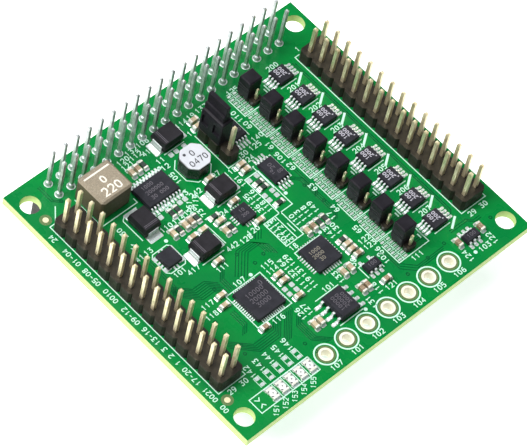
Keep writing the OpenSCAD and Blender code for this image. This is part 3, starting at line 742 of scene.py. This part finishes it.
# Numbers, by how far they are turned in degrees: (number, x, y)
NUMBERS = {
    0: [
        ("29", -27.3, -19.95), ("30", -24.8, -19.95), ("29", 25.7, -20.1), ("30", 28.3, -20.1),
        ("1", 25.7, 20.45), ("120", -11.9, 21.7), ("121", -11.9, 20.6), ("112", -9.6, 21.2),
        ("41", -7.9, 20.6), ("11", -7.1, 18.1), ("14", -14.2, 22.4), ("132", -9.6, 22.3),
        ("106", -7.1, 22.4), ("19", 2.6, 21.4), ("12", -7.3, 16.7), ("22", -14.6, 11.15),
        ("48", -12.9, 11.15), ("67", -11.2, 11.15), ("93", -8.5, 11.15), ("110", -15.0, 8.15),
        ("114", -12.4, 8.15), ("128", -9.9, 8.15), ("27", -1.9, 10.7), ("242", -6.9, 10.1),
        ("114", 0.4, 21.3), ("137", 5.0, 21.5), ("102", 0.95, 19.0), ("24", 4.6, 9.6),
        ("118", 0.3, 9.6), ("417", -17.0, -0.3), ("111", -13.1, -2.75), ("442", -9.2, -0.9),
        ("128", -6.5, -1.2), ("120", -4.5, -0.75), ("101", -19.0, 0.7), ("41", -22.2, 6.5),
        ("13", -20.3, 6.6), ("124", -6.3, 4.6), ("140", 8.4, 11.9), ("117", -19.7, -6.4),
        ("118", -20.5, -8.2), ("107", -12.9, -6.35), ("116", -12.7, -15.1), ("115", -7.2, -6.7),
        ("114", -7.2, -7.95), ("18", -1.6, -6.95), ("122", 8.3, -12.9), ("123", 8.3, -14.2),
        ("101", -2.5, -15.75), ("121", 5.7, -21.7), ("103", 22.7, -25.95), ("125", 11.4, 20.95),
        ("111", 12.9, -20.4), ("30", 4.4, 10.85), ("125", 6.9, 10.85),
    ],
    90: [
        ("105", -7.5, 14.2), ("130", -21.2, 11.5), ("173", -8.7, 6.3), ("135", -0.95, 3.9),
        ("136", -0.95, 1.3), ("116", 0.3, 3.9), ("118", 0.3, 1.3), ("191", 0.3, 7.4),
        ("142", -0.95, 8.0), ("110", 8.5, 16.8), ("106", 8.5, 6.7), ("110", 2.15, -3.4),
        ("113", 3.4, -3.4), ("118", 4.75, -3.4), ("149", 6.15, -3.4), ("143", 4.8, -8.6),
        ("130", 6.2, -8.6), ("17", 7.3, -6.4), ("133", 0.1, -15.4), ("164", -5.2, -8.3),
        ("132", -5.2, -10.9), ("111", -5.2, -13.5), ("129", -3.9, -8.3), ("131", -3.9, -10.9),
        ("119", -3.9, -13.5), ("126", -9.35, -16.6), ("127", -8.0, -16.6), ("131", 1.0, -22.0),
        ("102", 8.3, -17.3), ("118", 3.5, -20.7), ("124", 19.3, -25.5), ("122", 24.8, -25.5),
        ("115", -1.75, -2.2), ("213", -0.75, -2.2), ("302", -1.75, -4.8), ("411", -0.75, -4.8),
    ],
    45: [
        ("161", -9.5, 8.8), ("119", -7.9, 9.0), ("41", -21.5, 8.6), ("38", 3.9, -14.9),
    ],
}
EDGE_STRIP = [
    ("24", 17.6), ("01-04", 13.2), ("05-08", 8.6), ("0010", 4.2), ("09-12", -0.4), ("13-16", -5.0),
    ("1 2 3", -9.6), ("17-20", -14.2), ("0021", -18.4), ("00", -21.6),
]

for path in OUTLINES:
    legend.stroke(path)
for path in LOOPS:
    legend.stroke(path, closed=True)
for x, y in DOTS:
    legend.disc(x, y, 0.33, 16)
for turn, numbers in NUMBERS.items():
    for text, x, y in numbers:
        legend.digits(text, x, y, turn=turn)
for text, y in EDGE_STRIP:
    legend.digits(text, -30.45, y, 0.82, 90, 0.14, 0.3)

for i, point in enumerate(test_points):
    x, y = middle(point)
    legend.digits(f"10{(i - 1) % len(test_points) + 1}", x, y - 2.5)

for i, led in enumerate(islands("led_bodies")):
    x, y = middle(led)
    legend.stroke([(x + 0.99, y + 1.4), (x + 0.99, y - 1.4)], 0.14)
    legend.stroke([(x - 0.5, y + 1.9), (x - 0.5, y + 3.8), (x + 0.5, y + 3.8), (x + 0.5, y + 1.9)], 0.1)
    legend.digits(f"15{i + 1}", x - 1.5, y - 2.45, 0.75, 45, 0.13)
    legend.digits(f"14{i + 2}", x, y + 5.1, turn=90)

for i in range(CHANNELS):
    down = i * CHANNEL_STEP
    legend.stroke([(9.6, 19.98 - down), (9.6, 16.0 - down), (13.1, 16.0 - down)])
    legend.stroke([(16.3, 18.6 - down), (16.3, 17.2 - down)], 0.24)
    legend.stroke([(15.75, 18.1 - down), (15.75, 17.2 - down)], 0.24)
    legend.stroke([(18, 16.35 - down), (21.5, 16.35 - down)])
    # Thick pale diagonal streak along the upright direction: a painted reflection of the pins in the mask,
    # not printed legend
    legend.stroke([(20.9, 15.3 - down), (23.0, 16.7 - down)], 0.4)
    if i < CHANNELS - 1:
        legend.digits(f"{60 + i}", 8.72, 14.55 - down, turn=90)
    legend.digits(f"20{i}", 19.9, 20.45 - down)
    for row in range(STRIP_ROWS):
        legend.stroke([(9.9, strip_y(i, row) + 0.4), (11.8, strip_y(i, row) + 0.4)], 0.1)
        legend.digits(f"{row + 1}", 10.78, strip_y(i, row), 0.4, 0, 0.11)
legend.piece("legend", "legend", "board", "white_cover")


# ---- Underside legend ----

below = Layer(*UNDER_INK)
below.stroke([(-25.9, 21.7), (25.9, 21.7), (25.9, 27.3), (-25.9, 27.3)], 0.2, closed=True)
for x in (-26.75, 26.9):
    below.stroke([(x - 2.9, -19.3), (x + 2.9, -19.3), (x + 2.9, 19.5), (x - 2.9, 19.5)], 0.2, closed=True)
for i in range(CHANNELS):
    y = 18.67 - i * CHANNEL_STEP
    below.stroke([(11.7, y - 2.1), (14, y - 2.1), (14, y + 2.1), (11.7, y + 2.1)], 0.16, closed=True)
    below.digits(f"{i + 1}", 16, y, 1.2, 0, 0.2)
below.piece("underside_legend", "legend", "board", "white_cover")


# ---- Prints on the packages ----


def on_top(box, rise, sink=SUNK):
    """Layer on the top face of a solid."""
    return Layer(box[1][2] - sink, box[1][2] + rise)


# Nodes, with the piece's name, its look, and marks (number, x, y, height, turn, stroke)
# about the middle of each solid's top
PRINTS = {
    "driver_ic_bodies": ("driver_prints", "pale_print", [
        ("100", -0.55, 0.35, 0.62, 90, 0.14),
        ("200", 0.35, 0.3, 0.62, 90, 0.14),
        ("-", 0.9, -0.8, 0.5, 0, 0.2),
    ]),
    "regulator_ic_body": ("regulator_print", "faint_print", [
        ("1000", -0.8, 1.2, 0.62, 0, 0.11),
        ("200000", -0.2, 0.1, 0.62, 0, 0.11),
        ("30 000", 0, -1.0, 0.62, 0, 0.11),
    ]),
    "amplifier_ic_bodies": ("amplifier_prints", "faint_print", [
        ("20", 0, 0.6, 0.7, 90, 0.12),
        ("10", -0.6, -0.4, 0.5, 90, 0.1),
        ("00", 0.6, -0.9, 0.55, 0, 0.1),
    ]),
    "memory_ic_body": ("memory_print", "faint_print", [
        ("10000", -0.8, 0, 0.62, 90, 0.1),
        ("20000", 0.1, 0, 0.62, 90, 0.1),
        ("3000", 1.0, 0, 0.62, 90, 0.1),
    ]),
    "controller_ic_body": ("controller_print", "faint_print", [
        ("10000", 0, 1.2, 0.75, 0, 0.1),
        ("20000", 0, 0.1, 0.75, 0, 0.1),
        ("3000", 0, -1.0, 0.75, 0, 0.1),
        ("0", 1.9, 1.9, 0.8, 0, 0.1),
    ]),
    "converter_ic_body": ("converter_print", "tan_print", [
        ("1000", -0.5, 0.9, 0.6, 0, 0.1),
        ("2000", -0.5, 0.0, 0.6, 0, 0.1),
        ("30", -0.4, -0.9, 0.6, 0, 0.1),
    ]),
    "monitor_ic_body": ("monitor_print", "faint_print", [
        ("10", 0, 0.5, 0.55, 0, 0.1),
        ("200", 0, -0.4, 0.5, 0, 0.09),
    ]),
    "small_outline_bodies": ("small_outline_prints", "faint_print", [
        ("100", 0, 0, 0.6, 0, 0.1),
    ]),
}
for node, (name, look, marks) in PRINTS.items():
    boxes = islands(node)
    layer = on_top(boxes[0], 0.02, 0.008)
    for box in boxes:
        cx, cy = middle(box)
        for text, x, y, height, turn, width in marks:
            layer.digits(text, cx + x, cy + y, height, turn, width, 0.35)
    layer.piece(name, look, "board", "white_cover")

# Pale band at the cathode end of each diode
diodes = islands("diode_bodies")
bands = on_top(diodes[0], 0.015)
for body in diodes:
    x, y = middle(body)
    w, d, _ = size(body)
    for along in (-1.45, -1.2):
        ends = [(-1.35, along), (1.35, along)] if d > w else [(along, -1.35), (along, 1.35)]
        bands.stroke([(x + u, y + v) for u, v in ends], 0.09)
bands.piece("diode_bands", "faint_print", "board", "white_cover")

core = islands("power_inductor_core")[0]
bar = on_top(core, 0.03)
cx, cy = middle(core)
bar.stroke([(cx - 2.6, cy + 2.1), (cx + 2.6, cy + 2.1)], 0.3)
bar.digits("0", cx, cy + 0.5, 1.2, 0, 0.26)
bar.digits("220", cx, cy - 1.55, 1.4, 0, 0.26, 0.32)
bar.piece("power_inductor_print", "cream_print", "board", "white_cover")

cover = islands("filter_inductor_cover")[0]
code = on_top(cover, 0.03)
cx, cy = middle(cover)
code.disc(cx - 1.25, cy + 1.2, 0.26, 20)
code.digits("0", cx, cy + 0.75, 1.0, 0, 0.16)
code.digits("0470", cx, cy - 0.85, 1.0, 0, 0.16, 0.3)
code.piece("filter_inductor_print", "dark_print", "board", "resistor_black")

# Dark corners and an arrow head on each light
CORNER = 0.34
led_marks = on_top(islands("led_bodies")[0], 0.02)
for led in islands("led_bodies"):
    x, y = middle(led)
    w, d = (length / 2 - 0.04 for length in size(led)[:2])
    for sx, sy in ((-1, -1), (1, -1), (1, 1), (-1, 1)):
        corner = [(w, d), (w - CORNER, d), (w, d - CORNER)]
        corner = [(x + sx * u, y + sy * v) for u, v in corner]
        led_marks.plate(corner if sx * sy < 0 else corner[::-1])
    led_marks.plate([(x - 0.1, y - 0.12), (x + 0.16, y - 0.12), (x + 0.02, y + 0.18)])
led_marks.piece("light_corner_marks", "dark_print", "board", "resistor_black")


# ---- CAD nodes: material and softened edges ----

SLOT_OF = {
    "laminate": "green_board", "test_point_rings": "gold_plate", "stack_socket_contacts": "tin_pin",
    "stack_solder_joints": "solder", "header_solder_joints": "solder", "leadless_ic_pads": "tin_lead",
    "power_inductor_core": "pressed_core", "power_inductor_coil": "copper_wire",
    "filter_inductor_shield": "ferrite", "filter_inductor_spool": "ferrite",
    "filter_inductor_winding": "copper_wire", "filter_inductor_cover": "white_cover",
    "inductor_terminals": "tin_lead", "capacitor_bodies": "capacitor_ceramic",
    "resistor_bodies": "resistor_black", "led_bodies": "led_lens", "chip_end_caps": "tin_end",
    "diode_bodies": "diode_black",
}
ENDINGS = (("_clip", "gold_pin"), ("_pins", "gold_pin"), ("_leads", "tin_lead"),
           ("_ic_body", "package"), ("_ic_bodies", "package"), ("small_outline_bodies", "package"))

# Widths of the softened edges; 0 leaves a node's edges as they are
EDGES = {"power_inductor_core": 0.14, "filter_inductor_cover": 0.18, "filter_inductor_shield": 0.1,
         "laminate": 0.0, "diode_bodies": 0.12, "stack_socket_housing": 0.12, "selector_shunt_housing": 0.1,
         "stack_solder_joints": 0.0, "header_solder_joints": 0.0, "test_point_rings": 0.0}
SHUNT_EDGE = 0.09
OTHER_EDGE = 0.035


def look_of(node):
    if node in SLOT_OF:
        return SLOT_OF[node]
    for ending, look in ENDINGS:
        if node.endswith(ending):
            return look
    return "shunt_black" if "shunt" in node else "black_housing"


for name, node in nodes.items():
    node.data.materials.clear()
    node.data.materials.append(LOOKS[look_of(name)])
    edge = EDGES.get(name, SHUNT_EDGE if "shunt" in name and "housing" in name else OTHER_EDGE)
    if edge:
        node.modifiers.new("weld", "WELD").merge_threshold = 1e-6
        soft = node.modifiers.new("soft_edges", "BEVEL")
        soft.width = edge * MM
        soft.segments = 2
        soft.limit_method = "ANGLE"
        soft.angle_limit = math.radians(40)
        soft.use_clamp_overlap = True
        node.modifiers.new("shade", "WEIGHTED_NORMAL").keep_sharp = True


# ---- Floor, light and camera ----


FLOOR_HALF = 3.0


def floor(z):
    corners = [(x * FLOOR_HALF, y * FLOOR_HALF, z) for x, y in ((-1, -1), (1, -1), (1, 1), (-1, 1))]
    mesh = bpy.data.meshes.new("floor")
    mesh.from_pydata(corners, [], [(0, 1, 2, 3)])
    mesh.materials.append(floor_material())
    made = bpy.data.objects.new("floor", mesh)
    bpy.context.scene.collection.objects.link(made)


def area_light(name, place, size_m, power, tint):
    data = bpy.data.lights.new(name, "AREA")
    data.shape = "SQUARE"
    data.size = size_m
    data.energy = power
    data.color = tint
    lamp = bpy.data.objects.new(name, data)
    lamp.location = place
    lamp.rotation_euler = (-Vector(place)).to_track_quat("-Z", "Y").to_euler()
    bpy.context.scene.collection.objects.link(lamp)


floor(cad_box[0][2] - 0.0002)
area_light("key", (-0.42, 0.3, 0.6), 0.35, 5.6, (1.0, 0.99, 0.97))
area_light("top", (-0.05, 0.2, 0.8), 0.6, 5.0, (0.98, 0.99, 1.0))
area_light("front", (-0.35, -0.5, 0.3), 0.3, 0.25, (1.0, 1.0, 1.0))

world = bpy.data.worlds.new("studio")
world.use_nodes = True
background = world.node_tree.nodes["Background"]
background.inputs["Color"].default_value = (0.96, 0.98, 1.0, 1.0)
background.inputs["Strength"].default_value = 0.2
bpy.context.scene.world = world
bpy.context.scene.view_settings.view_transform = "Standard"

lens = bpy.data.cameras.new("camera")
lens.sensor_width = 36
lens.lens = 239.2
lens.shift_x, lens.shift_y = -0.0312, 0.0233
lens.clip_start, lens.clip_end = 0.05, 10
camera = bpy.data.objects.new("camera", lens)
right = (0.71329, -0.68458, 0.15026)
down = (-0.51654, -0.65837, -0.54747)
ahead = (0.47371, 0.31289, -0.82322)
turned = Matrix([[right[i], -down[i], -ahead[i]] for i in range(3)])
camera.matrix_world = Matrix.Translation((-0.262389, -0.176146, 0.454459)) @ turned.to_4x4()
bpy.context.scene.collection.objects.link(camera)
bpy.context.scene.camera = camera
